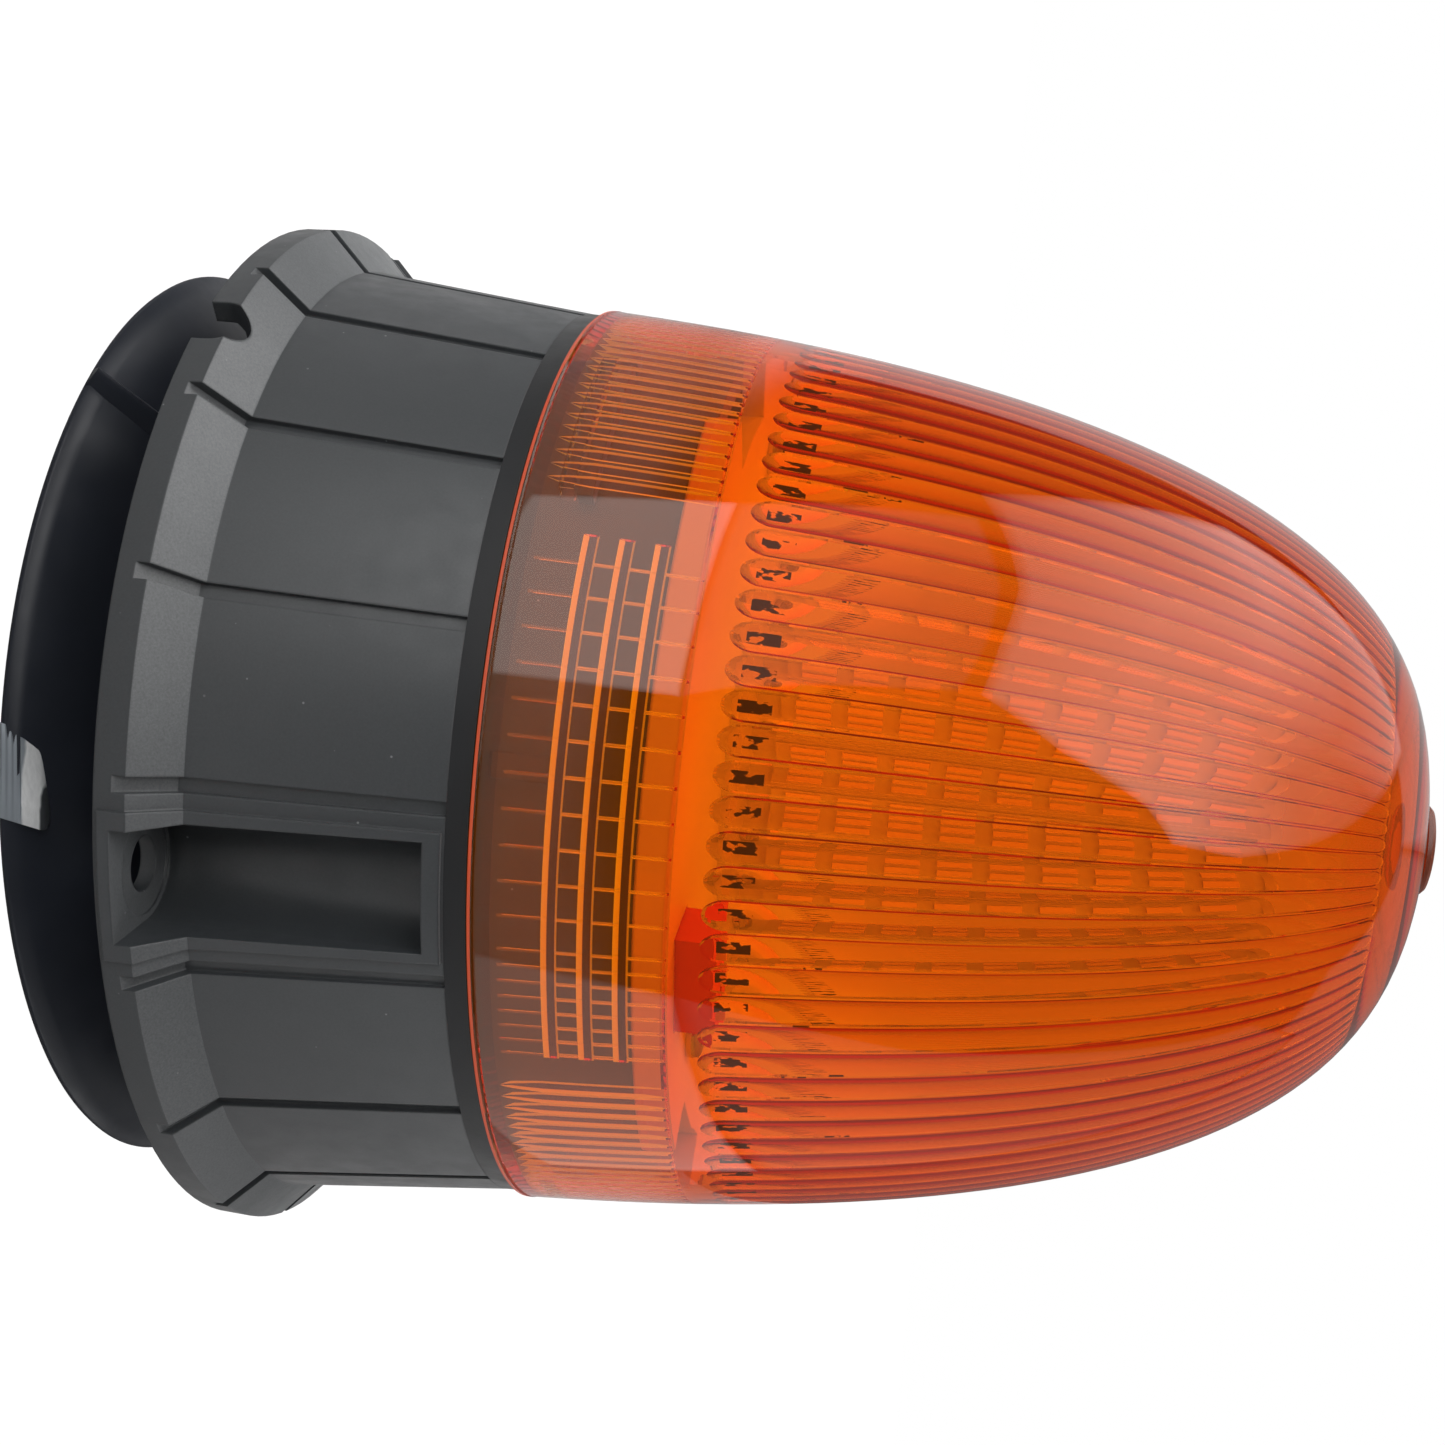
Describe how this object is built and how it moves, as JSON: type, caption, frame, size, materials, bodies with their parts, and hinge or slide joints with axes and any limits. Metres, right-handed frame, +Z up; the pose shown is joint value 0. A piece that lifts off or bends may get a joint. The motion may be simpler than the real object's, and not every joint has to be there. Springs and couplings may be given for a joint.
{
  "type": "warning beacon",
  "caption": "Amber domed warning beacon on a flared three-bolt base with a suction magnet foot, twist-off fluted lens and an upright LED column.",
  "frame": {"origin": "on the ground under the centre of the beacon", "axes": "+Z up along the beacon's axis; -Y towards one of the three mounting pockets"},
  "size_m": [0.1494, 0.1499, 0.1878],
  "materials": {
    "housing_plastic": "fine-grained moulded charcoal plastic",
    "seal_rubber": "smooth black moulded rubber",
    "lens_amber": "clear amber polycarbonate, polished",
    "cup_rubber": "glossy navy-black rubber",
    "stainless": "bright rolled stainless steel",
    "zinc_steel": "zinc-plated steel",
    "ferrite": "sintered grey ferrite",
    "grommet_rubber": "matt black rubber",
    "vent_plastic": "matt white plastic",
    "board_green": "green solder-mask board",
    "can_aluminium": "brushed aluminium can",
    "ferrite_core": "dark grey ferrite",
    "chip_black": "matt black epoxy",
    "terminal_green": "moulded green plastic",
    "brass": "turned brass",
    "deck_white": "glossy white moulded plastic",
    "core_aluminium": "extruded aluminium",
    "strip_white": "white solder-mask board",
    "led_chip": "yellow phosphor under clear resin",
    "switch_red": "glossy red plastic",
    "switch_white": "glossy white plastic"
  },
  "bodies": {
    "base": {"base_housing": "housing_plastic", "lens_seal": "seal_rubber", "suction_foot": "cup_rubber", "release_tab": "stainless", "magnet_pot": "zinc_steel", "magnet_ring": "ferrite", "magnet_bolt": "stainless", "magnet_nut": "zinc_steel", "cable_grommet": "grommet_rubber", "breather_plug": "vent_plastic", "driver_board": "board_green", "driver_capacitors": "can_aluminium", "driver_inductor": "ferrite_core", "driver_chips": "chip_black", "terminal_block": "terminal_green", "terminal_screws": "zinc_steel", "deck_pillars": "brass", "reflector_deck": "deck_white", "deck_screws": "stainless", "column_core": "core_aluminium", "column_screws": "stainless", "led_strips": "strip_white", "led_chips": "led_chip", "crown_board": "strip_white", "crown_chips": "led_chip", "crown_screw": "stainless", "switch_board": "board_green", "switch_body": "switch_red"},
    "lens": {"lens_dome": "lens_amber"},
    "slider_1": {"switch_slider_1": "switch_white"},
    "slider_2": {"switch_slider_2": "switch_white"},
    "slider_3": {"switch_slider_3": "switch_white"},
    "slider_4": {"switch_slider_4": "switch_white"}
  },
  "joints": [
    {"name": "lens_twist", "type": "hinge", "parent": "base", "child": "lens", "pos_m": [0, 0, 0.0605], "axis": [0, 0, 1], "range_deg": [0, 30]},
    {"name": "switch_slide_1", "type": "slide", "parent": "base", "child": "slider_1", "axis": [0.2079, -0.9781, 0], "range_m": [0, 0.0014]},
    {"name": "switch_slide_2", "type": "slide", "parent": "base", "child": "slider_2", "axis": [0.2079, -0.9781, 0], "range_m": [0, 0.0014]},
    {"name": "switch_slide_3", "type": "slide", "parent": "base", "child": "slider_3", "axis": [0.2079, -0.9781, 0], "range_m": [0, 0.0014]},
    {"name": "switch_slide_4", "type": "slide", "parent": "base", "child": "slider_4", "axis": [0.2079, -0.9781, 0], "range_m": [0, 0.0014]}
  ]
}
